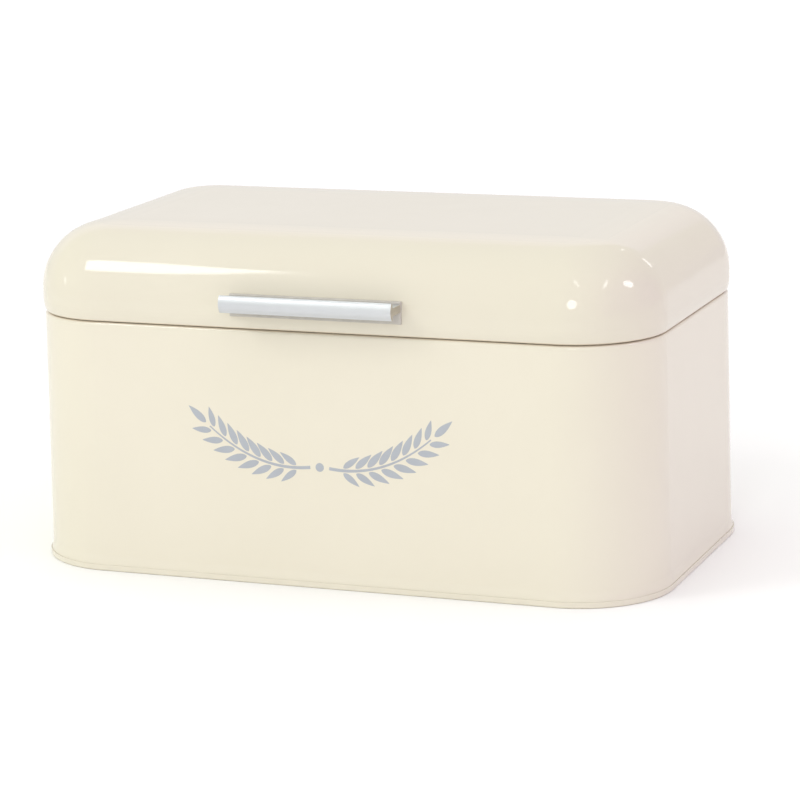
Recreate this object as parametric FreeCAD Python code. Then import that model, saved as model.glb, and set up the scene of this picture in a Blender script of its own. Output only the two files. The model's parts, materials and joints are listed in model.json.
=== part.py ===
import FreeCAD, Part
import math
import os

os.makedirs("parts", exist_ok=True)

# Frame: millimetres, +Z up, +X along the width, -Y is the front with the handle.
# The origin is the middle of the body on the surface the base stands on.

# Body and lid, seen from above as one rounded rectangle
WIDTH = 330.0
DEPTH = 195.4
CORNER = 44.6
TAPER = 1.73
SHEET = 0.6
AXIS_X = WIDTH / 2 - CORNER
AXIS_Y = DEPTH / 2 - CORNER

# Base seam: the pan's channel folded round the foot of the wall
BEAD_OUT = 2.16
BEAD_TOP = 3.2
FLARE_TOP = 8.4
FLOOR_EDGE_Z = 3.6
FLOOR_Z = 4.8

# Shoulder under the lid, and the collar that the lid closes over
LEDGE_Z = 128.2
SHOULDER_R = 2.0
COLLAR_OUT = -6.1
COLLAR_FOOT_Z = 121.0
COLLAR_BEAD_Z = 135.6
COLLAR_BEAD_R = 0.9

# Lid
LID_OUT = -0.07
LID_RIM_Z = 128.5
HEM_IN = 0.75
HEM_R = 1.0
LID_BULGE_Z = 134.6
LID_ROUND_Z = 139.3
LID_ROUND_R = 33.2
LID_ROUND_DEG = 85.0

# Handle, an extruded bar of front plate and web, on a pad against the lid
HANDLE_HALF = 44.9
PLATE_FRONT = 14.8
PLATE_T = 2.8
PLATE_CROWN = 1.3
PLATE_LOW = 138.9
PLATE_HIGH = 147.5
WEB_LOW = 141.0
WEB_HIGH = 144.9
PAD_LOW = 135.0
PAD_HIGH = 146.1
PAD_T = 1.6
SCREW_X = 30.0
SCREW_R = 1.5

# Hinges, two alike, riveted to the back of the body and of the lid
HINGE_X = 85.0
HINGE_HALF = 20.0
LID_KNUCKLE_HALF = 9.8
KNUCKLE_GAP = 0.4
KNUCKLE_R = 2.6
PIN_R = 1.25
PIN_FIT = 0.05
PIN_Z = 128.5
PIN_Y = DEPTH / 2 + LID_OUT + 3.0
LEAF_T = 1.0
LEAF_REACH = 13.4
LEAF_START = 2.35
STOP_DEG = 103.5
STOP_REACH = 7.5
STOP_HALF = 7.0
RIVET_X = 13.0
RIVET_R = 1.2
RIVET_HEAD_R = 2.2
RIVET_DROP = 8.6
BACKER_T = 0.8

# Cushions inside the front of the lid
CUSHION_X = 100.0
CUSHION_HALF = 6.0


def wall(z):
    """How far the tapering wall stands out from its middle height."""
    return TAPER * (0.5 - z / LEDGE_Z)


def face_along(path, place):
    """A flat face from a path of points, where a pair of points is an arc through the first to the second."""
    edges = []
    last = place(path[0])
    for step in path[1:] + [path[0]]:
        arc = isinstance(step[0], tuple)
        end = place(step[1] if arc else step)
        if arc:
            edges.append(Part.Arc(last, place(step[0]), end).toShape())
        elif last.distanceToPoint(end) > 1e-6:
            edges.append(Part.makeLine(last, end))
        last = end
    return Part.Face(Part.Wire(edges))


def profile(path):
    """A section of the wall from (out, z) points, set where the corner's axis is the Z axis."""
    return face_along(path, lambda p: FreeCAD.Vector(CORNER + p[0], 0, p[1]))


def run_round(face):
    """Carries a face once round the rounded rectangle: four straight sides and four corners."""
    pieces = []
    for turn in range(4):
        along = 2 * (AXIS_Y if turn % 2 == 0 else AXIS_X)
        x, y = (AXIS_X, AXIS_Y) if turn % 2 == 0 else (AXIS_Y, AXIS_X)
        side = face.copy()
        side.translate(FreeCAD.Vector(x, -y, 0))
        side = side.extrude(FreeCAD.Vector(0, along, 0))
        bend = face.revolve(FreeCAD.Vector(0, 0, 0), FreeCAD.Vector(0, 0, 1), 90)
        bend.translate(FreeCAD.Vector(x, y, 0))
        for piece in (side, bend):
            piece.rotate(FreeCAD.Vector(0, 0, 0), FreeCAD.Vector(0, 0, 1), 90 * turn)
            pieces.append(piece)
    return pieces


def fused(pieces):
    """One clean solid out of several that touch or overlap."""
    return pieces[0].multiFuse(pieces[1:]).removeSplitter().Solids[0]


def middle_block(low, high):
    """The rectangle left inside the four corner axes."""
    corner = FreeCAD.Vector(-AXIS_X, -AXIS_Y, low)
    return Part.makeBox(2 * AXIS_X, 2 * AXIS_Y, high - low, corner)


def arc_point(centre, radius, degrees):
    """A point on a circle in the (out, z) plane, counted up from the outward direction."""
    angle = math.radians(degrees)
    return (centre[0] + radius * math.cos(angle), centre[1] + radius * math.sin(angle))


def box(x, y, z):
    """A box from three (low, high) pairs."""
    corner = FreeCAD.Vector(x[0], y[0], z[0])
    return Part.makeBox(x[1] - x[0], y[1] - y[0], z[1] - z[0], corner)


def rod_x(radius, x, y, z):
    """A round rod along X from x[0] to x[1]."""
    return Part.makeCylinder(radius, x[1] - x[0], FreeCAD.Vector(x[0], y, z), FreeCAD.Vector(1, 0, 0))


def rod_y(radius, x, y, z):
    """A round rod along Y from y[0] to y[1]."""
    return Part.makeCylinder(radius, y[1] - y[0], FreeCAD.Vector(x, y[0], z), FreeCAD.Vector(0, 1, 0))


def wall_path(inset):
    """The wall's face from the base seam up to the shoulder, inset into the sheet."""
    foot = BEAD_OUT - SHEET - inset
    mid_z = (3.4 + FLARE_TOP) / 2
    sag = (foot + inset - wall(FLARE_TOP)) / 4
    return [
        (foot, SHEET),
        (foot, 3.4),
        ((wall(FLARE_TOP) + sag - inset, mid_z), (wall(FLARE_TOP) - inset, FLARE_TOP)),
        (wall(LEDGE_Z - SHOULDER_R) - inset, LEDGE_Z - SHOULDER_R),
    ]


def body_block():
    """The body as if it were solid, used to fit what is fastened to it."""
    top = (wall(LEDGE_Z - SHOULDER_R) - SHOULDER_R, LEDGE_Z)
    path = wall_path(0.0) + [top, (-CORNER, LEDGE_Z), (-CORNER, SHEET)]
    return fused(run_round(profile(path)) + [middle_block(SHEET, LEDGE_Z)])


def body_shell():
    outer = wall_path(0.0)
    inner = wall_path(SHEET)
    edge = wall(LEDGE_Z - SHOULDER_R) - SHOULDER_R
    centre = (edge, LEDGE_Z - SHOULDER_R)
    bend = (COLLAR_OUT + 1.0, LEDGE_Z - 1.0)
    path = outer + [
        (arc_point(centre, SHOULDER_R, 45), (edge, LEDGE_Z)),
        (bend[0], LEDGE_Z),
        (arc_point(bend, 1.0, 135), (COLLAR_OUT, bend[1])),
        (COLLAR_OUT, COLLAR_FOOT_Z),
        (COLLAR_OUT + SHEET, COLLAR_FOOT_Z),
        (COLLAR_OUT + SHEET, bend[1]),
        (arc_point(bend, 1.0 - SHEET, 135), (bend[0], LEDGE_Z - SHEET)),
        (edge, LEDGE_Z - SHEET),
        (arc_point(centre, SHOULDER_R - SHEET, 45), inner[3]),
        inner[2][1],
        (inner[2][0], inner[1]),
        inner[0],
    ]
    shell = fused(run_round(profile(path)))
    back = DEPTH / 2
    seam = box((-4.0, 4.0), (back - SHEET - 1.3, back - 0.3), (12.0, 118.0))
    return fused([shell, seam])


def base_pan():
    """The pressed floor, with the channel at its edge closed round the foot of the wall."""
    inner_leg = BEAD_OUT - 3 * SHEET
    path = [
        (inner_leg + 0.3, 0.0),
        (BEAD_OUT - 1.0, 0.0),
        (arc_point((BEAD_OUT - 1.0, 1.0), 1.0, -45), (BEAD_OUT, 1.0)),
        (BEAD_OUT, BEAD_TOP - 0.3),
        ((BEAD_OUT - 0.3, BEAD_TOP), (BEAD_OUT - SHEET, BEAD_TOP - 0.3)),
        (BEAD_OUT - SHEET, SHEET),
        (BEAD_OUT - 2 * SHEET, SHEET),
        (BEAD_OUT - 2 * SHEET, FLOOR_EDGE_Z - 1.2),
        (arc_point((inner_leg - 0.6, FLOOR_EDGE_Z - 1.2), 1.2, 45), (inner_leg - 0.6, FLOOR_EDGE_Z)),
        (-11.0, FLOOR_EDGE_Z),
        (-12.6, FLOOR_Z),
        (-CORNER, FLOOR_Z),
        (-CORNER, FLOOR_Z - SHEET),
        (-12.4, FLOOR_Z - SHEET),
        (-10.8, FLOOR_EDGE_Z - SHEET),
        (inner_leg - 0.6, FLOOR_EDGE_Z - SHEET),
        (arc_point((inner_leg - 0.6, FLOOR_EDGE_Z - 1.2), 0.6, 45), (inner_leg, FLOOR_EDGE_Z - 1.2)),
        (inner_leg, 0.3),
    ]
    return fused(run_round(profile(path)) + [middle_block(FLOOR_Z - SHEET, FLOOR_Z)])


def collar():
    """The strip inside the body's mouth, rolled outward along its top edge."""
    low, high = COLLAR_FOOT_Z, COLLAR_BEAD_Z
    strip = [(COLLAR_OUT, low), (COLLAR_OUT, high), (COLLAR_OUT - SHEET, high), (COLLAR_OUT - SHEET, low)]
    centre = (COLLAR_OUT - SHEET + COLLAR_BEAD_R, COLLAR_BEAD_Z)
    start = arc_point(centre, COLLAR_BEAD_R, 180)
    far = arc_point(centre, COLLAR_BEAD_R, 0)
    under = arc_point(centre, COLLAR_BEAD_R, 270)
    over = arc_point(centre, COLLAR_BEAD_R, 90)
    bead = [start, (over, far), (under, start)]
    return fused(run_round(profile(strip)) + run_round(profile(bead)))


def lid_rise(inset):
    """The lid's face from its rim up to the middle of its top, inset into the sheet."""
    centre = (LID_OUT - LID_ROUND_R, LID_ROUND_Z)
    radius = LID_ROUND_R - inset
    knee = arc_point(centre, radius, LID_ROUND_DEG)
    flat = 90 - LID_ROUND_DEG
    crown_r = (CORNER + arc_point(centre, LID_ROUND_R, LID_ROUND_DEG)[0]) / math.sin(math.radians(flat))
    crown = (-CORNER, knee[1] - (crown_r - inset) * math.cos(math.radians(flat)))
    return [
        (LID_OUT - inset, LID_ROUND_Z),
        (arc_point(centre, radius, LID_ROUND_DEG / 2), knee),
        (arc_point(crown, crown_r - inset, 90 - flat / 2), arc_point(crown, crown_r - inset, 90)),
    ]


def lid_skirt():
    """The lid's outer face from the fold of its hem to where the round begins."""
    fold = (LID_OUT - HEM_IN, LID_RIM_Z + HEM_R)
    return [fold, ((LID_OUT - HEM_IN / 4, (fold[1] + LID_BULGE_Z) / 2), (LID_OUT, LID_BULGE_Z))]


def lid_block():
    """The lid as if it were solid, used to fit what is fastened to its outside."""
    rise = lid_rise(0.0)
    top = rise[2][1][1]
    low = LID_RIM_Z + HEM_R
    face = profile(lid_skirt() + rise + [(-CORNER, low)])
    return fused(run_round(face) + [middle_block(low, top)])


def lid_cavity():
    """The space inside the lid's sheet, used to fit what is fastened to its inside."""
    rise = lid_rise(SHEET)
    top = rise[2][1][1]
    low = LID_RIM_Z + HEM_R
    start = (LID_OUT - SHEET, low)
    face = profile([start] + rise + [(-CORNER, low)])
    return fused(run_round(face) + [middle_block(low, top)])


def lid_shell():
    """The pressed lid, its lower edge folded inward into a flat hem."""
    rise = lid_rise(0.0)
    under = lid_rise(SHEET)
    skirt = lid_skirt()
    fold = skirt[0]
    hem_top = LID_BULGE_Z + 0.8
    path = skirt + rise + [
        under[2][1],
        (under[2][0], under[1][1]),
        (under[1][0], under[0]),
        (LID_OUT - SHEET, hem_top),
        (LID_OUT - SHEET - 0.4, hem_top),
        (LID_OUT - SHEET - 0.7, hem_top - 0.3),
        (fold[0] - 2 * HEM_R, fold[1]),
        ((fold[0] - HEM_R, LID_RIM_Z), fold),
    ]
    edges = run_round(profile(path))
    return fused(edges + [middle_block(under[2][1][1], rise[2][1][1])])


def handle_pad(lid):
    """The pad between the bar and the enamel, as long as the bar and taller than it, fitted to the lid."""
    face_y = -(DEPTH / 2 + LID_OUT)
    front = face_y - PAD_T
    pad = box((-HANDLE_HALF, HANDLE_HALF), (front, face_y + 4.0), (PAD_LOW, PAD_HIGH)).cut(lid).Solids[0]
    rim = [e for e in pad.Edges if e.BoundBox.YMax < front + 0.01]
    pad = pad.makeFillet(0.4, rim)
    for x in (-SCREW_X, SCREW_X):
        pad = pad.cut(rod_y(SCREW_R, x, (face_y - 9.0, face_y + 6.0), (WEB_LOW + WEB_HIGH) / 2))
    return pad.Solids[0]


def handle_bar():
    """One extrusion: a convex front plate, and a web behind it that stands on the pad."""
    face_y = -(DEPTH / 2 + LID_OUT)
    front = face_y - PLATE_FRONT
    back = front + PLATE_T
    shoulder = front + PLATE_CROWN
    f = 0.9
    g = f * (1 - math.sqrt(0.5))
    path = [
        (back + f, WEB_LOW),
        ((back + g, WEB_LOW - g), (back, WEB_LOW - f)),
        (back, PLATE_LOW + 0.6),
        ((back - 0.18, PLATE_LOW + 0.18), (back - 0.6, PLATE_LOW)),
        (shoulder + 0.6, PLATE_LOW),
        ((shoulder + 0.14, PLATE_LOW + 0.16), (shoulder, PLATE_LOW + 0.6)),
        ((front, (PLATE_LOW + PLATE_HIGH) / 2), (shoulder, PLATE_HIGH - 0.6)),
        ((shoulder + 0.14, PLATE_HIGH - 0.16), (shoulder + 0.6, PLATE_HIGH)),
        (back - 0.6, PLATE_HIGH),
        ((back - 0.18, PLATE_HIGH - 0.18), (back, PLATE_HIGH - 0.6)),
        (back, WEB_HIGH + f),
        ((back + g, WEB_HIGH + g), (back + f, WEB_HIGH)),
        (face_y - PAD_T, WEB_HIGH),
        (face_y - PAD_T, WEB_LOW),
    ]
    section = face_along(path, lambda p: FreeCAD.Vector(-HANDLE_HALF, p[0], p[1]))
    bar = section.extrude(FreeCAD.Vector(2 * HANDLE_HALF, 0, 0))
    for x in (-SCREW_X, SCREW_X):
        bar = bar.cut(rod_y(SCREW_R, x, (face_y - 9.0, face_y + 6.0), (WEB_LOW + WEB_HIGH) / 2))
    return bar.Solids[0]


def handle_screw(x):
    """A pan-head screw driven from inside the lid into the web, with a cross recess."""
    z = (WEB_LOW + WEB_HIGH) / 2
    face_y = -(DEPTH / 2 + LID_OUT)
    seat = face_y + 2.2
    shank = rod_y(SCREW_R, x, (face_y - 8.0, seat), z)
    head = rod_y(2.8, x, (seat, seat + 2.0), z)
    rim = [e for e in head.Edges if e.BoundBox.YMin > seat + 1.9]
    head = head.makeFillet(0.8, rim)
    slots = box((x - 1.6, x + 1.6), (seat + 1.0, seat + 3.0), (z - 0.35, z + 0.35))
    slots = slots.fuse(box((x - 0.35, x + 0.35), (seat + 1.0, seat + 3.0), (z - 1.6, z + 1.6)))
    return fused([shank, head]).cut(slots).Solids[0]


def handle_washer(x, cavity):
    """A washer shaped to the inside of the lid, flat towards the screw's head."""
    z = (WEB_LOW + WEB_HIGH) / 2
    face_y = -(DEPTH / 2 + LID_OUT)
    ring = rod_y(3.6, x, (face_y - 1.0, face_y + 2.2), z)
    return ring.common(cavity).cut(rod_y(SCREW_R, x, (face_y - 2.0, face_y + 4.0), z)).Solids[0]


def leaf_plate(side, middle):
    """The flat of one hinge leaf; side is +1 above the pin for the lid and -1 below it for the body."""
    outer = PIN_Y - 2.0
    levels = sorted((PIN_Z + side * LEAF_START, PIN_Z + side * LEAF_REACH))
    plate = box((middle - HINGE_HALF, middle + HINGE_HALF), (outer - LEAF_T, outer), levels)
    far = PIN_Z + side * LEAF_REACH
    corners = [e for e in plate.Edges if e.BoundBox.YLength > 0.9 and abs(e.BoundBox.Center.z - far) < 0.01]
    return plate.makeFillet(2.5, corners)


def rivet_cuts(middle, z):
    """The two rivet holes of one leaf, long enough to pass through everything behind it."""
    return [rod_y(RIVET_R, middle + s * RIVET_X, (PIN_Y - 9.0, PIN_Y), z) for s in (-1, 1)]


def hinge_body_leaf(middle):
    outer = PIN_Y - 2.0
    leaf = [leaf_plate(-1, middle)]
    for side in (-1, 1):
        span = sorted((middle + side * (LID_KNUCKLE_HALF + KNUCKLE_GAP), middle + side * HINGE_HALF))
        leaf.append(rod_x(KNUCKLE_R, span, PIN_Y, PIN_Z))
        leaf.append(box(span, (outer - 0.55, outer), (PIN_Z - LEAF_START - 0.1, PIN_Z)))
    part = fused(leaf)
    cuts = rivet_cuts(middle, PIN_Z - RIVET_DROP)
    cuts.append(rod_x(PIN_R, (middle - 30, middle + 30), PIN_Y, PIN_Z))
    for cut in cuts:
        part = part.cut(cut)
    return part.Solids[0]


def hinge_lid_leaf(middle, lid):
    """The lid's leaf, with the tab that meets the body's leaf when the lid is fully open."""
    outer = PIN_Y - 2.0
    span = (middle - LID_KNUCKLE_HALF, middle + LID_KNUCKLE_HALF)
    tab = box((middle - STOP_HALF, middle + STOP_HALF), (outer, outer + 1.2), (PIN_Z - STOP_REACH, PIN_Z))
    tab.rotate(FreeCAD.Vector(0, PIN_Y, PIN_Z), FreeCAD.Vector(1, 0, 0), STOP_DEG)
    leaf = [leaf_plate(1, middle), rod_x(KNUCKLE_R, span, PIN_Y, PIN_Z), tab]
    leaf.append(box(span, (outer - 0.55, outer), (PIN_Z, PIN_Z + LEAF_START + 0.1)))
    part = fused(leaf).cut(lid)
    cuts = rivet_cuts(middle, PIN_Z + RIVET_DROP)
    cuts.append(rod_x(PIN_R + PIN_FIT, (middle - 30, middle + 30), PIN_Y, PIN_Z))
    for cut in cuts:
        part = part.cut(cut)
    return part.Solids[0]


def hinge_pin(middle):
    """The pin, headed over at both ends."""
    part = rod_x(PIN_R, (middle - HINGE_HALF - 0.9, middle + HINGE_HALF + 0.9), PIN_Y, PIN_Z)
    for end in (-HINGE_HALF - 0.9, HINGE_HALF):
        head = rod_x(1.9, (middle + end, middle + end + 0.9), PIN_Y, PIN_Z)
        outside = middle + end + (0.0 if end < 0 else 0.9)
        rim = [e for e in head.Edges if abs(e.BoundBox.Center.x - outside) < 0.01 and e.BoundBox.YLength > 3]
        part = part.fuse(head.makeFillet(0.5, rim))
    return part.removeSplitter().Solids[0]


def hinge_spacer(middle, body):
    """The pad that fills between the body's wall and the leaf, which stands in line with the lid."""
    inner = PIN_Y - 2.0 - LEAF_T
    levels = (PIN_Z - LEAF_REACH - 0.6, PIN_Z - LEAF_START)
    pad = box((middle - HINGE_HALF - 0.6, middle + HINGE_HALF + 0.6), (inner - 3.0, inner), levels)
    pad = pad.cut(body)
    for cut in rivet_cuts(middle, PIN_Z - RIVET_DROP):
        pad = pad.cut(cut)
    return max(pad.Solids, key=lambda s: s.Volume)


def backer(middle, z, inner_face):
    """The strip inside the sheet that the rivets are closed against."""
    plate = box((middle - 17.0, middle + 17.0), (inner_face - BACKER_T - 0.6, inner_face + 2.0), (z - 3.4, z + 3.4))
    corners = [e for e in plate.Edges if e.BoundBox.YLength > 1.0]
    return plate.makeFillet(1.5, corners)


def body_backer(middle):
    """Set against the inside of the body's wall, which leans a little."""
    z = PIN_Z - RIVET_DROP
    inside = DEPTH / 2 + wall(z) - SHEET
    plate = backer(middle, z, inside).cut(wall_slab())
    for cut in rivet_cuts(middle, z):
        plate = plate.cut(cut)
    return plate.Solids[0]


def wall_slab():
    """The back wall's inner plane carried outward, to trim what lies inside it."""
    low, high = 100.0, LEDGE_Z - 2.0
    points = [(DEPTH / 2 + wall(z) - SHEET, z) for z in (low, high)]
    far = DEPTH / 2 + 10
    corners = [points[0], points[1], (far, high), (far, low), points[0]]
    wire = Part.makePolygon([FreeCAD.Vector(-AXIS_X, y, z) for y, z in corners])
    return Part.Face(wire).extrude(FreeCAD.Vector(2 * AXIS_X, 0, 0))


def lid_backer(middle, cavity):
    z = PIN_Z + RIVET_DROP
    inside = DEPTH / 2 + LID_OUT - SHEET
    plate = backer(middle, z + 1.8, inside).common(cavity)
    for cut in rivet_cuts(middle, z):
        plate = plate.cut(cut)
    return plate.Solids[0]


def rivet(x, z, inner_y):
    """Domed outside on the leaf, closed over flat on the backer inside."""
    outer = PIN_Y - 2.0
    shank = rod_y(RIVET_R, x, (inner_y - 0.8, outer + 0.3), z)
    sphere_r = (RIVET_HEAD_R ** 2 + 1.0) / 2
    dome = Part.makeSphere(sphere_r, FreeCAD.Vector(x, outer + 1.0 - sphere_r, z))
    dome = dome.common(rod_y(RIVET_HEAD_R + 1.0, x, (outer, outer + 2.0), z))
    closed = rod_y(2.0, x, (inner_y - 0.8, inner_y), z)
    rim = [e for e in closed.Edges if e.BoundBox.YMax < inner_y - 0.7]
    return fused([shank, dome, closed.makeFillet(0.35, rim)])


def cushion(middle, shell):
    """A soft block fitted against the inside of the lid's hem, just clear of the shoulder."""
    face_y = -(DEPTH / 2 + LID_OUT - HEM_IN - HEM_R)
    across = (middle - CUSHION_HALF, middle + CUSHION_HALF)
    block = box(across, (face_y + 0.2, face_y + 2.1), (LEDGE_Z + 0.15, 134.0))
    edges = [e for e in block.Edges if e.BoundBox.XLength > 1 and e.BoundBox.Center.y > face_y + 2.0]
    return block.makeFillet(0.5, edges).cut(shell).Solids[0]


def compound(solids):
    return Part.makeCompound(solids)


def main():
    lid = lid_block()
    body = body_block()
    cavity = lid_cavity()
    body_y = DEPTH / 2 + wall(PIN_Z - RIVET_DROP) - SHEET - BACKER_T - 0.6
    lid_y = DEPTH / 2 + LID_OUT - SHEET - BACKER_T - 0.6
    body_rivets = []
    lid_rivets = []
    shell = body_shell()
    top = lid_shell()
    parts = {}
    for name, middle in (("left", -HINGE_X), ("right", HINGE_X)):
        for side in (-1, 1):
            x = middle + side * RIVET_X
            body_rivets.append(rivet(x, PIN_Z - RIVET_DROP, body_y))
            lid_rivets.append(rivet(x, PIN_Z + RIVET_DROP, lid_y))
        for cut in rivet_cuts(middle, PIN_Z - RIVET_DROP):
            shell = shell.cut(cut)
        for cut in rivet_cuts(middle, PIN_Z + RIVET_DROP):
            top = top.cut(cut)
        parts["hinge_body_leaf_" + name] = hinge_body_leaf(middle)
        parts["hinge_lid_leaf_" + name] = hinge_lid_leaf(middle, lid)
        parts["hinge_pin_" + name] = hinge_pin(middle)
        parts["hinge_spacer_" + name] = hinge_spacer(middle, body)
        parts["hinge_body_backer_" + name] = body_backer(middle)
        parts["hinge_lid_backer_" + name] = lid_backer(middle, cavity)
    for x in (-SCREW_X, SCREW_X):
        face_y = -(DEPTH / 2 + LID_OUT)
        top = top.cut(rod_y(SCREW_R, x, (face_y - 2.0, face_y + 4.0), (WEB_LOW + WEB_HIGH) / 2))
    parts["body_shell"] = shell.Solids[0]
    parts["base_pan"] = base_pan()
    parts["collar"] = collar()
    parts["lid_shell"] = top.Solids[0]
    parts["handle_bar"] = handle_bar()
    parts["handle_pad"] = handle_pad(lid)
    parts["handle_screws"] = compound([handle_screw(x) for x in (-SCREW_X, SCREW_X)])
    parts["handle_washers"] = compound([handle_washer(x, cavity) for x in (-SCREW_X, SCREW_X)])
    parts["hinge_body_rivets"] = compound(body_rivets)
    parts["hinge_lid_rivets"] = compound(lid_rivets)
    parts["lid_cushion_left"] = cushion(-CUSHION_X, top)
    parts["lid_cushion_right"] = cushion(CUSHION_X, top)
    for name in parts:
        parts[name].exportStep("parts/" + name + ".step")
        box_of = parts[name].BoundBox
        size = (round(box_of.XLength, 2), round(box_of.YLength, 2), round(box_of.ZLength, 2))
        print(name, parts[name].isValid(), len(parts[name].Solids), size, round(parts[name].Volume))


main()
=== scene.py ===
import json
import math

import bmesh
import bpy
from mathutils import Matrix, Vector


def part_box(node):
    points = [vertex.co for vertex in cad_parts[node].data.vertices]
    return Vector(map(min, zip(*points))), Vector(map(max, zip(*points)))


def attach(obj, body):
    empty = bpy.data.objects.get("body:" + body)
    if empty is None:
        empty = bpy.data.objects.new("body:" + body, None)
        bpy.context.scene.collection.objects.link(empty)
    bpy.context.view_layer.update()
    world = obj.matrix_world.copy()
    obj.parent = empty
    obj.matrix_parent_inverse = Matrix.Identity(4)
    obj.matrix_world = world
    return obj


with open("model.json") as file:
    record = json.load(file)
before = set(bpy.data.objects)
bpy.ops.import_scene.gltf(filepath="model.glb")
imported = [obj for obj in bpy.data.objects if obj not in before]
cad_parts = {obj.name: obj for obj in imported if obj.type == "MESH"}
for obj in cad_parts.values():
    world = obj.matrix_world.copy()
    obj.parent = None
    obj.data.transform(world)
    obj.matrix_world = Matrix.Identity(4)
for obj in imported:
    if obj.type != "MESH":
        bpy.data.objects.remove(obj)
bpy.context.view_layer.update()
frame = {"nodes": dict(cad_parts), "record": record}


# ---------------------------------------------------------------- camera

CAMERA_AZIMUTH = 0.36986
CAMERA_ELEVATION = 0.21858
CAMERA_ROLL = -0.02418
CAMERA_TARGET = Vector((0.00517, 0.0, 0.07436))
CAMERA_DISTANCE = 1.6378
CAMERA_LENS = 142.54
CAMERA_SENSOR = 36.0
CAMERA_FAR = 50.0


def add_camera():
    """The studio camera, a long lens in front and a little to the right, rolled by about a degree."""
    data = bpy.data.cameras.new("camera")
    data.lens = CAMERA_LENS
    data.sensor_width = CAMERA_SENSOR
    data.clip_end = CAMERA_FAR
    camera = bpy.data.objects.new("camera", data)
    bpy.context.scene.collection.objects.link(camera)
    level = math.cos(CAMERA_ELEVATION)
    back = Vector((
        math.sin(CAMERA_AZIMUTH) * level,
        -math.cos(CAMERA_AZIMUTH) * level,
        math.sin(CAMERA_ELEVATION),
    ))
    right = Vector((0, 0, 1)).cross(back).normalized()
    up = back.cross(right)
    c, s = math.cos(CAMERA_ROLL), math.sin(CAMERA_ROLL)
    across = right * c + up * s
    upward = up * c - right * s
    turn = Matrix((across, upward, back)).transposed().to_4x4()
    camera.matrix_world = Matrix.Translation(CAMERA_TARGET + back * CAMERA_DISTANCE) @ turn
    bpy.context.scene.camera = camera


# ---------------------------------------------------------------- node trees

class Nodes:
    """An emptied node tree, with the operations that the room and the finishes share."""

    def __init__(self, tree):
        self.tree = tree
        self.tree.nodes.clear()

    def node(self, kind):
        return self.tree.nodes.new(kind)

    def feed(self, socket, value):
        """Sets a socket to a number or a colour, or links another node's output to it."""
        if isinstance(value, (int, float)):
            socket.default_value = value
        elif isinstance(value, tuple):
            socket.default_value = (*value, 1.0)
        else:
            self.tree.links.new(value, socket)

    def split(self, vector):
        node = self.node("ShaderNodeSeparateXYZ")
        self.feed(node.inputs[0], vector)
        return node.outputs

    def math(self, operation, *values):
        node = self.node("ShaderNodeMath")
        node.operation = operation
        for socket, value in zip(node.inputs, values):
            self.feed(socket, value)
        return node.outputs[0]

    def step(self, value, start, end):
        """0 at start and 1 at end, with a smooth rise between them."""
        node = self.node("ShaderNodeMapRange")
        node.interpolation_type = "SMOOTHSTEP"
        self.feed(node.inputs["Value"], value)
        self.feed(node.inputs["From Min"], start)
        self.feed(node.inputs["From Max"], end)
        return node.outputs[0]

    def mixed(self, factor, low, high):
        node = self.node("ShaderNodeMix")
        node.data_type = "RGBA"
        self.feed(node.inputs["Factor"], factor)
        for name, value in (("A", low), ("B", high)):
            self.feed([i for i in node.inputs if i.name == name and i.type == "RGBA"][0], value)
        return [o for o in node.outputs if o.type == "RGBA"][0]


# ---------------------------------------------------------------- room and lights

# radiances in red, green and blue
BACKDROP = (0.87, 0.85, 0.87)
BACKDROP_HIGH = (1.12, 1.05, 1.10)
ROOM = (0.95, 0.93, 0.86)
ROOM_FRONT = (1.02, 1.035, 1.00)
ROOM_RIGHT = (0.75, 0.59, 0.87)
CEILING = (0.98, 1.03, 0.98)
# the backdrop's edges, as limits on a view direction's x, z and slant in parts of its y
BACKDROP_RIGHT = 0.335
BACKDROP_TOP = 0.92
BACKDROP_SLANT = (0.923, 0.39)
BACKDROP_EDGE = 0.008
# where each colour starts and is complete, by a view direction's z or its cosine to the middle
BACKDROP_RISE = (0.08, 0.45)
CEILING_RISE = (0.55, 0.95)
FRONT_MIDDLE = (-20.0, 4.0)
FRONT_REACH = (0.3, 0.9)
RIGHT_MIDDLE = (90.0, 5.0)
RIGHT_REACH = (0.45, 0.9)
WINDOW_RADIANCE = 8.0
# the window's uprights in metres: x, then (y, z) of the foot and (y, z) of the head
WINDOW_UPRIGHTS = (
    (-1.10, (-1.04, 1.02), (-0.70, 1.26)),
    (-0.82, (-1.20, 1.07), (-0.82, 1.40)),
    (-0.765, (-1.21, 1.07), (-0.83, 1.40)),
    (-0.705, (-1.14, 1.17), (-0.93, 1.36)),
    (-0.645, (-1.00, 1.31), (-0.95, 1.36)),
)
# name, the point on the lid that mirrors it, (azimuth, elevation) of its two ends seen from there,
# its other width in degrees, radiance, colour
LAMPS = (
    ("lamp_by_camera", (0.130, -0.095, 0.148), (7, 27), (8, 11.5), 12, 7.0, (1.0, 1.0, 1.0)),
    ("lamp_right", (0.153, -0.077, 0.156), (91, 39.5), (106, 32.5), 10, 7.5, (1.0, 0.95, 1.0)),
    ("strip_front", (0.131, -0.091, 0.158), (5.5, 62), (16.5, 48), 3.5, 5.0, (1.0, 1.0, 1.0)),
    ("strip_right", (0.144, -0.085, 0.157), (74, 53.5), (55, 42), 3.5, 5.0, (1.0, 1.0, 1.0)),
    ("strip_back", (0.155, -0.055, 0.163), (167, 24), (160.5, 17.5), 3.0, 2.6, (1.0, 1.0, 1.0)),
    ("point_back", (0.145, -0.061, 0.169), (175, 36.5), (177, 33.5), 2.5, 2.6, (1.0, 1.0, 1.0)),
    ("lamp_left", (-0.137, -0.093, 0.148), (-77, 13), (-69, 5.5), 6, 2.6, (1.0, 1.0, 1.0)),
)
LAMP_REACH = 1.6
BACKGROUND_LIGHT_SIZE = (6.0, 4.0)
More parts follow.
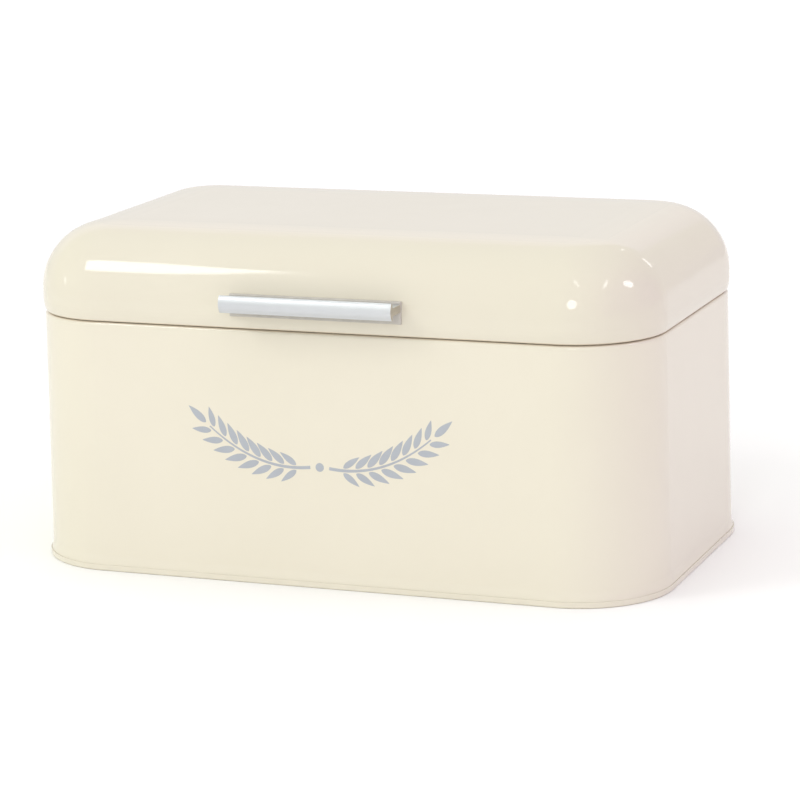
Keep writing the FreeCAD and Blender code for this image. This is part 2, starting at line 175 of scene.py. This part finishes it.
BACKGROUND_LIGHT_POWER = 14.0
BACKGROUND_LIGHT_SPREAD = 60.0
BACKGROUND_LIGHT_X = -0.6
BACKGROUND_LIGHT_START = 0.9
BACKGROUND_LIGHT_HEIGHT = 1.6
FLOOR_REACH = 9.0
FLOOR_LOW = (0.96, 0.96, 0.955)
FLOOR_HIGH = (0.975, 0.975, 0.97)


def direction(azimuth, elevation):
    """A unit vector; azimuth 0 points to the front and 90 to the right, both in degrees."""
    turn, rise = math.radians(azimuth), math.radians(elevation)
    return Vector((math.sin(turn) * math.cos(rise), -math.cos(turn) * math.cos(rise), math.sin(rise)))


class Sky(Nodes):
    """The world's node tree, whose colour depends on the view direction."""

    def within(self, value, y, limit):
        """1 where the value is under limit times y, and 0 past that edge of the backdrop."""
        margin = self.math("SUBTRACT", self.math("MULTIPLY", y, limit), value)
        return self.step(margin, 0.0, BACKDROP_EDGE)

    def towards(self, where, azimuth, elevation):
        """How far a view direction points towards another one, as the cosine between them."""
        node = self.node("ShaderNodeVectorMath")
        node.operation = "DOT_PRODUCT"
        self.feed(node.inputs[0], where)
        node.inputs[1].default_value = direction(azimuth, elevation)
        return node.outputs["Value"]


def add_world():
    """A pale room with a backdrop behind, whose edges the enamel mirrors."""
    world = bpy.data.worlds.new("studio")
    bpy.context.scene.world = world
    world.use_nodes = True
    sky = Sky(world.node_tree)
    where = sky.node("ShaderNodeTexCoord").outputs["Generated"]
    x, y, z = sky.split(where)
    slant = sky.math("ADD", x, sky.math("MULTIPLY", z, BACKDROP_SLANT[0]))
    behind = sky.within(x, y, BACKDROP_RIGHT)
    behind = sky.math("MULTIPLY", behind, sky.within(z, y, BACKDROP_TOP))
    behind = sky.math("MULTIPLY", behind, sky.within(slant, y, BACKDROP_SLANT[1]))
    room = sky.mixed(sky.step(z, *CEILING_RISE), ROOM, CEILING)
    room = sky.mixed(sky.step(sky.towards(where, *FRONT_MIDDLE), *FRONT_REACH), room, ROOM_FRONT)
    room = sky.mixed(sky.step(sky.towards(where, *RIGHT_MIDDLE), *RIGHT_REACH), room, ROOM_RIGHT)
    backdrop = sky.mixed(sky.step(z, *BACKDROP_RISE), BACKDROP, BACKDROP_HIGH)
    light = sky.node("ShaderNodeBackground")
    sky.feed(light.inputs["Color"], sky.mixed(behind, room, backdrop))
    out = sky.node("ShaderNodeOutputWorld")
    sky.feed(out.inputs["Surface"], light.outputs[0])


def add_window():
    """A bright pane that narrows to the right, for the long reflection along the lid's front."""
    mesh = bpy.data.meshes.new("window")
    points = []
    for x, foot, head in WINDOW_UPRIGHTS:
        points.append((x, *foot))
        points.append((x, *head))
    panes = [(i, i + 1, i + 3, i + 2) for i in range(0, len(points) - 2, 2)]
    mesh.from_pydata(points, [], panes)
    window = bpy.data.objects.new("window", mesh)
    bpy.context.scene.collection.objects.link(window)
    material = bpy.data.materials.new("window")
    material.use_nodes = True
    nodes = Nodes(material.node_tree)
    glow = nodes.node("ShaderNodeEmission")
    glow.inputs["Strength"].default_value = WINDOW_RADIANCE
    out = nodes.node("ShaderNodeOutputMaterial")
    nodes.feed(out.inputs["Surface"], glow.outputs[0])
    mesh.materials.append(material)
    window.visible_camera = False
    window.visible_shadow = False


def add_lamps():
    """Soft lamps, each placed where the lid's corners mirror it."""
    for name, spot, one_end, other_end, width, radiance, colour in LAMPS:
        start = Vector(spot)
        first = direction(*one_end)
        last = direction(*other_end)
        middle = (first + last).normalized()
        data = bpy.data.lights.new(name, "AREA")
        data.shape = "ELLIPSE"
        data.size = (last - first).length * LAMP_REACH
        data.size_y = math.radians(width) * LAMP_REACH
        data.color = colour
        data.energy = radiance * math.pi * math.pi / 4 * data.size * data.size_y
        across = middle.cross(last - first).normalized()
        along = across.cross(middle)
        lamp = bpy.data.objects.new(name, data)
        bpy.context.scene.collection.objects.link(lamp)
        turn = Matrix((along, across, middle)).transposed().to_4x4()
        lamp.matrix_world = Matrix.Translation(start + middle * LAMP_REACH) @ turn


def add_background_light():
    """A wide lamp over the floor behind the object, shuttered so that it lights only that floor."""
    data = bpy.data.lights.new("background_light", "AREA")
    data.shape = "RECTANGLE"
    data.size, data.size_y = BACKGROUND_LIGHT_SIZE
    data.energy = BACKGROUND_LIGHT_POWER
    data.spread = math.radians(BACKGROUND_LIGHT_SPREAD)
    lamp = bpy.data.objects.new("background_light", data)
    bpy.context.scene.collection.objects.link(lamp)
    middle = BACKGROUND_LIGHT_START + BACKGROUND_LIGHT_SIZE[1] / 2
    lamp.location = (BACKGROUND_LIGHT_X, middle, BACKGROUND_LIGHT_HEIGHT)


def add_floor():
    """A plain pale floor at the height of the base seam."""
    mesh = bpy.data.meshes.new("floor")
    corners = [(x * FLOOR_REACH, y * FLOOR_REACH, 0) for x, y in ((-1, -1), (1, -1), (1, 1), (-1, 1))]
    mesh.from_pydata(corners, [], [(0, 1, 2, 3)])
    floor = bpy.data.objects.new("floor", mesh)
    bpy.context.scene.collection.objects.link(floor)
    surface = Surface("floor")
    surface.look("Base Color", surface.tones(surface.noise(6.0, detail=3.0), FLOOR_LOW, FLOOR_HIGH))
    surface.look("Roughness", 0.6)
    surface.look("Specular IOR Level", 0.2)
    mesh.materials.append(surface.material)


# ---------------------------------------------------------------- materials

# the part of a noise's range that its values mostly lie in
NOISE_SPAN = (0.3, 0.7)
METAL_PEAK = 0.00002
PLASTIC_PEAK = 0.00002


class Surface(Nodes):
    """A material: one shader, and the building blocks of the finishes."""

    def __init__(self, name):
        self.material = bpy.data.materials.new(name)
        self.material.use_nodes = True
        super().__init__(self.material.node_tree)
        self.bsdf = self.node("ShaderNodeBsdfPrincipled")
        out = self.node("ShaderNodeOutputMaterial")
        self.feed(out.inputs["Surface"], self.bsdf.outputs[0])
        self.where = self.node("ShaderNodeTexCoord")

    def look(self, name, value):
        """Sets an input of the shader."""
        self.feed(self.bsdf.inputs[name], value)

    def scaled(self, scale):
        mapping = self.node("ShaderNodeMapping")
        mapping.inputs["Scale"].default_value = scale
        self.feed(mapping.inputs["Vector"], self.where.outputs["Object"])
        return mapping.outputs[0]

    def noise(self, scale, detail=2.0, roughness=0.5, stretch=(1.0, 1.0, 1.0)):
        noise = self.node("ShaderNodeTexNoise")
        noise.inputs["Scale"].default_value = scale
        noise.inputs["Detail"].default_value = detail
        noise.inputs["Roughness"].default_value = roughness
        self.feed(noise.inputs["Vector"], self.scaled(stretch))
        return noise.outputs["Fac"]

    def ramp(self, source, stops):
        """Remaps a value through (position, grey or colour) stops."""
        ramp = self.node("ShaderNodeValToRGB")
        elements = ramp.color_ramp.elements
        while len(elements) < len(stops):
            elements.new(0.5)
        for element, (position, value) in zip(elements, stops):
            element.position = position
            element.color = (value, value, value, 1.0) if isinstance(value, float) else (*value, 1.0)
        self.feed(ramp.inputs["Fac"], source)
        return ramp.outputs["Color"]

    def tones(self, source, low, high):
        """A colour that drifts between two tones with a noise."""
        return self.ramp(source, [(NOISE_SPAN[0], low), (NOISE_SPAN[1], high)])

    def rough(self, source, low, high):
        spread = self.node("ShaderNodeMapRange")
        spread.inputs["From Min"].default_value = NOISE_SPAN[0]
        spread.inputs["From Max"].default_value = NOISE_SPAN[1]
        spread.inputs["To Min"].default_value = low
        spread.inputs["To Max"].default_value = high
        self.feed(spread.inputs["Value"], source)
        self.look("Roughness", spread.outputs[0])

    def bump(self, layers):
        """Stacks (height, depth in metres) layers of bump."""
        last = None
        for source, depth in layers:
            bump = self.node("ShaderNodeBump")
            bump.inputs["Distance"].default_value = depth
            bump.inputs["Strength"].default_value = 1.0
            self.feed(bump.inputs["Height"], source)
            if last:
                self.feed(bump.inputs["Normal"], last)
            last = bump.outputs[0]
        self.look("Normal", last)


CREAM_LOW = (0.715, 0.671, 0.550)
CREAM_HIGH = (0.730, 0.686, 0.567)
# painted shade: a brown cream for the groove of the seam between lid and body
SEAM_SHADE_LOW = (0.58, 0.50, 0.38)
SEAM_SHADE_HIGH = (0.64, 0.56, 0.43)
# how far the shoulder is under the cushions, then where the painted seam shade, which browns the cream,
# starts and is complete on the shoulder, under its top, and on the lid, over its rim, in metres
CUSHION_CLEAR = 0.00015
SHOULDER_SEAM_SHADE = (-0.0009, -0.0002)
RIM_SEAM_SHADE = (0.0010, 0.0003)
ALUMINIUM_LOW = (0.61, 0.625, 0.645)
ALUMINIUM_HIGH = (0.64, 0.655, 0.67)
# painted shade and a painted reflection of the cream lid, for the bar's sawn ends
END_SHADE_LOW = (0.50, 0.47, 0.42)
END_SHADE_HIGH = (0.60, 0.565, 0.51)
INK_LOW = (0.380, 0.402, 0.438)
INK_HIGH = (0.400, 0.424, 0.462)
# noise stretched along the width, for a grain or a brushed finish that runs that way
LENGTHWISE = (0.02, 1.0, 1.0)
EVEN = (1.0, 1.0, 1.0)
# slot: low and high colour, (low, high) roughness, scale of the grain, its stretch
METALS = {
    "screw_zinc": ((0.62, 0.64, 0.68), (0.72, 0.71, 0.66), (0.2, 0.35), 500.0, EVEN),
    "washer_zinc": ((0.60, 0.62, 0.66), (0.70, 0.70, 0.68), (0.25, 0.4), 500.0, EVEN),
    "hinge_nickel": ((0.66, 0.64, 0.61), (0.74, 0.72, 0.69), (0.18, 0.3), 600.0, LENGTHWISE),
    "pin_steel": ((0.58, 0.58, 0.58), (0.66, 0.66, 0.66), (0.2, 0.35), 500.0, LENGTHWISE),
    "rivet_steel": ((0.64, 0.64, 0.64), (0.72, 0.72, 0.72), (0.16, 0.3), 300.0, EVEN),
    "backer_zinc": ((0.58, 0.60, 0.64), (0.68, 0.68, 0.66), (0.3, 0.45), 300.0, EVEN),
}
# slot: low and high colour, (low, high) roughness, how much light passes under the surface
PLASTICS = {
    "pad_rubber": ((0.48, 0.455, 0.41), (0.56, 0.53, 0.475), (0.5, 0.65), 0.0),
    "spacer_nylon": ((0.78, 0.76, 0.70), (0.84, 0.82, 0.77), (0.4, 0.55), 0.2),
    "cushion_rubber": ((0.03, 0.03, 0.03), (0.05, 0.05, 0.05), (0.5, 0.65), 0.0),
}


def enamel(name, tint=1.0, seam_shade_heights=None):
    """Gloss cream stove enamel: even colour, a trace of orange peel and slow ripples from the sheet.

    The third argument gives the heights, in metres, where painted shade starts to brown the cream and
    where it is brownest: the shade in the groove of the seam between lid and body.
    """
    surface = Surface(name)
    low = tuple(c * tint for c in CREAM_LOW)
    high = tuple(c * tint for c in CREAM_HIGH)
    cream = surface.tones(surface.noise(9.0, detail=4.0), low, high)
    # painted shade: the cream browns towards the seam's groove
    if seam_shade_heights:
        seam_shade_colour = surface.tones(surface.noise(160.0, detail=3.0), SEAM_SHADE_LOW, SEAM_SHADE_HIGH)
        height = surface.split(surface.where.outputs["Object"])["Z"]
        cream = surface.mixed(surface.step(height, *seam_shade_heights), cream, seam_shade_colour)
    surface.look("Base Color", cream)
    surface.rough(surface.noise(60.0, detail=5.0), 0.055, 0.10)
    peel = surface.noise(420.0, detail=2.0)
    ripple = surface.noise(14.0, detail=1.0)
    surface.bump([(peel, 0.000003), (ripple, 0.00003)])
    return surface.material


def metal(name, low, high, rough, grain, stretch):
    """Bare or plated metal with a directional grain."""
    surface = Surface(name)
    lines = surface.noise(grain, detail=6.0, roughness=0.65, stretch=stretch)
    cloud = surface.noise(40.0, detail=3.0)
    surface.look("Base Color", surface.tones(cloud, low, high))
    surface.rough(lines, *rough)
    surface.bump([(lines, METAL_PEAK)])
    surface.look("Metallic", 1.0)
    return surface.material


def handle_metal(name):
    """Satin anodised aluminium, drawn lengthwise, with sawn ends painted darker and browner: painted shade
    and a painted reflection of the cream lid.
    """
    surface = Surface(name)
    drawn = surface.noise(900.0, detail=6.0, roughness=0.65, stretch=LENGTHWISE)
    sawn = surface.noise(700.0, detail=4.0, roughness=0.6, stretch=(1.0, 0.08, 1.0))
    facing_end = surface.math("ABSOLUTE", surface.split(surface.where.outputs["Normal"])["X"])
    # faces looking along the bar take the darker, browner tone: painted shade and painted reflection
    end = surface.ramp(facing_end, [(0.75, 0.0), (0.9, 1.0)])
    face_tone = surface.tones(surface.noise(40.0, detail=3.0), ALUMINIUM_LOW, ALUMINIUM_HIGH)
    end_shade_tone = surface.tones(sawn, END_SHADE_LOW, END_SHADE_HIGH)
    surface.look("Base Color", surface.mixed(end, face_tone, end_shade_tone))
    surface.rough(drawn, 0.40, 0.52)
    surface.bump([(drawn, METAL_PEAK / 2)])
    surface.look("Metallic", 1.0)
    return surface.material


def plastic(name, low, high, rough, subsurface):
    """Moulded rubber or nylon with a fine matt texture."""
    surface = Surface(name)
    surface.look("Base Color", surface.tones(surface.noise(180.0, detail=3.0), low, high))
    surface.rough(surface.noise(350.0, detail=4.0), *rough)
    surface.bump([(surface.noise(900.0, detail=2.0), PLASTIC_PEAK)])
    surface.look("Subsurface Weight", subsurface)
    surface.bsdf.inputs["Subsurface Radius"].default_value = (0.002, 0.0018, 0.0015)
    return surface.material


def ink(name):
    """Blue-grey screen print under the same gloss."""
    surface = Surface(name)
    surface.look("Base Color", surface.tones(surface.noise(120.0, detail=4.0), INK_LOW, INK_HIGH))
    surface.rough(surface.noise(300.0, detail=3.0), 0.14, 0.22)
    surface.bump([(surface.noise(700.0, detail=2.0), 0.000004)])
    return surface.material


def finish_nodes():
    """Gives every CAD node the finish of its material slot."""
    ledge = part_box("lid_cushion_left")[0][2] - CUSHION_CLEAR
    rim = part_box("lid_shell")[0][2]
    finishes = {
        # the body and lid take painted seam shade near the shoulder and the rim
        "body_enamel": enamel("body_enamel", 1.0, [ledge + height for height in SHOULDER_SEAM_SHADE]),
        # the lid's darker tint of the cream is painted shade, so that the lid reads less lit than the body
        "lid_enamel": enamel("lid_enamel", 0.965, [rim + height for height in RIM_SEAM_SHADE]),
        "pan_enamel": enamel("pan_enamel", 0.985),
        "collar_enamel": enamel("collar_enamel", 0.99),
        "handle_aluminium": handle_metal("handle_aluminium"),
    }
    finishes.update({slot: metal(slot, *look) for slot, look in METALS.items()})
    finishes.update({slot: plastic(slot, *look) for slot, look in PLASTICS.items()})
    slots = {part["node"]: part["material_slot"] for part in frame["record"]["subparts"]}
    for name, node in frame["nodes"].items():
        node.data.materials.clear()
        node.data.materials.append(finishes[slots[name]])


# ---------------------------------------------------------------- print on the front

PRINT_HALF = 0.0715
PRINT_LEVEL = 0.0715
INK_PROUD = 0.00006
GRAIN_LENGTH = 0.0122
GRAIN_WIDTH = 0.0037
GRAIN_TURN = math.radians(36.0)
GRAIN_PAIRS = 8
GRAIN_STEPS = 18
STEM_STEPS = 24
STEM_WIDTH = 0.0016
STEM_TAPER = 0.0009
STEM_FIRST = Vector((0.0050, -0.0105))
STEM_PULL = Vector((0.0340, -0.0145))
STEM_LAST = Vector((PRINT_HALF - 0.0115, 0.0085))
DOT_LEVEL = -0.0102
DOT_RADIUS = 0.0022
DOT_STEPS = 24


def stem_point(t):
    """The middle line of the right-hand ear, from beside the middle to its raised tip, and its tangent."""
    place = STEM_FIRST * (1 - t) ** 2 + STEM_PULL * 2 * t * (1 - t) + STEM_LAST * t * t
    along = (STEM_PULL - STEM_FIRST) * (1 - t) + (STEM_LAST - STEM_PULL) * t
    return place, along.normalized()


def grain_outline(base, along, length, width):
    """A grain: round at its base and drawn out to a point."""
    across = Vector((-along.y, along.x))
    sides = []
    for step in range(1, GRAIN_STEPS):
        t = step / GRAIN_STEPS
        half = width / 2 * math.sin(math.pi * t ** 0.72) ** 0.9
        sides.append((base + along * length * t, across * half))
    left = [place + half for place, half in sides]
    right = [place - half for place, half in reversed(sides)]
    return [base] + left + [base + along * length] + right


def stroke_outline(points, widths):
    """A tapering stroke along a few points."""
    left, right = [], []
    for index, point in enumerate(points):
        before = points[max(index - 1, 0)]
        after = points[min(index + 1, len(points) - 1)]
        along = (after - before).normalized()
        across = Vector((-along.y, along.x)) * widths[index] / 2
        left.append(point + across)
        right.append(point - across)
    return left + right[::-1]


def ear_outlines():
    """One ear of wheat: stem, pairs of grains, and a grain at the tip."""
    parts = [i / STEM_STEPS for i in range(STEM_STEPS + 1)]
    stem = [stem_point(0.97 * part)[0] for part in parts]
    outlines = [stroke_outline(stem, [STEM_WIDTH - STEM_TAPER * part for part in parts])]
    for pair in range(GRAIN_PAIRS):
        place, along = stem_point(0.13 + 0.81 * pair / (GRAIN_PAIRS - 1))
        size = 0.82 + 0.18 * math.sin(math.pi * (pair + 0.5) / GRAIN_PAIRS)
        for side in (-1, 1):
            across = Vector((-along.y, along.x)) * side
            lean = along * math.cos(GRAIN_TURN) + across * math.sin(GRAIN_TURN)
            base = place + across * 0.0013
            outlines.append(grain_outline(base, lean, GRAIN_LENGTH * size, GRAIN_WIDTH * size))
    tip, along = stem_point(1.0)
    outlines.append(grain_outline(tip + along * 0.0006, along, GRAIN_LENGTH, GRAIN_WIDTH))
    return outlines


def add_print():
    """Two mirrored ears of wheat in blue-grey ink, where a printed word would be."""
    wall = frame["nodes"]["body_shell"]
    reach = Vector((0.0, 1.0, 0.0))
    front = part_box("body_shell")[0][1] - 0.05
    outlines = ear_outlines()
    outlines += [[Vector((-p.x, p.y)) for p in reversed(outline)] for outline in outlines]
    angles = [math.tau * i / DOT_STEPS for i in range(DOT_STEPS)]
    round_dot = [Vector((math.cos(angle), math.sin(angle))) * DOT_RADIUS for angle in angles]
    outlines.append([Vector((0.0, DOT_LEVEL)) + point for point in round_dot])
    work = bmesh.new()
    for outline in outlines:
        rings = []
        for proud in (INK_PROUD, -INK_PROUD):
            ring = []
            for point in outline:
                at = Vector((point.x, front, PRINT_LEVEL + point.y))
                found, place, _, _ = wall.ray_cast(at, reach)
                assert found, "the print runs off the wall"
                ring.append(work.verts.new((place.x, place.y - proud, place.z)))
            rings.append(ring)
        work.faces.new(rings[0])
        work.faces.new(rings[1][::-1])
        for i in range(len(outline)):
            j = (i + 1) % len(outline)
            work.faces.new((rings[0][j], rings[0][i], rings[1][i], rings[1][j]))
    bmesh.ops.recalc_face_normals(work, faces=work.faces)
    mesh = bpy.data.meshes.new("front_print")
    work.to_mesh(mesh)
    work.free()
    piece = bpy.data.objects.new("front_print", mesh)
    bpy.context.scene.collection.objects.link(piece)
    mesh.materials.append(ink("front_print"))
    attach(piece, "body")


def soften_handle():
    """Breaks the sawn ends of the bar, which the extrusion leaves sharp."""
    bevel = frame["nodes"]["handle_bar"].modifiers.new("ends", "BEVEL")
    bevel.width = 0.0003
    bevel.segments = 2
    bevel.limit_method = "ANGLE"
    bevel.angle_limit = math.radians(60.0)


add_camera()
add_world()
add_window()
add_lamps()
add_background_light()
add_floor()
finish_nodes()
soften_handle()
add_print()
bpy.context.scene.view_settings.view_transform = "Standard"
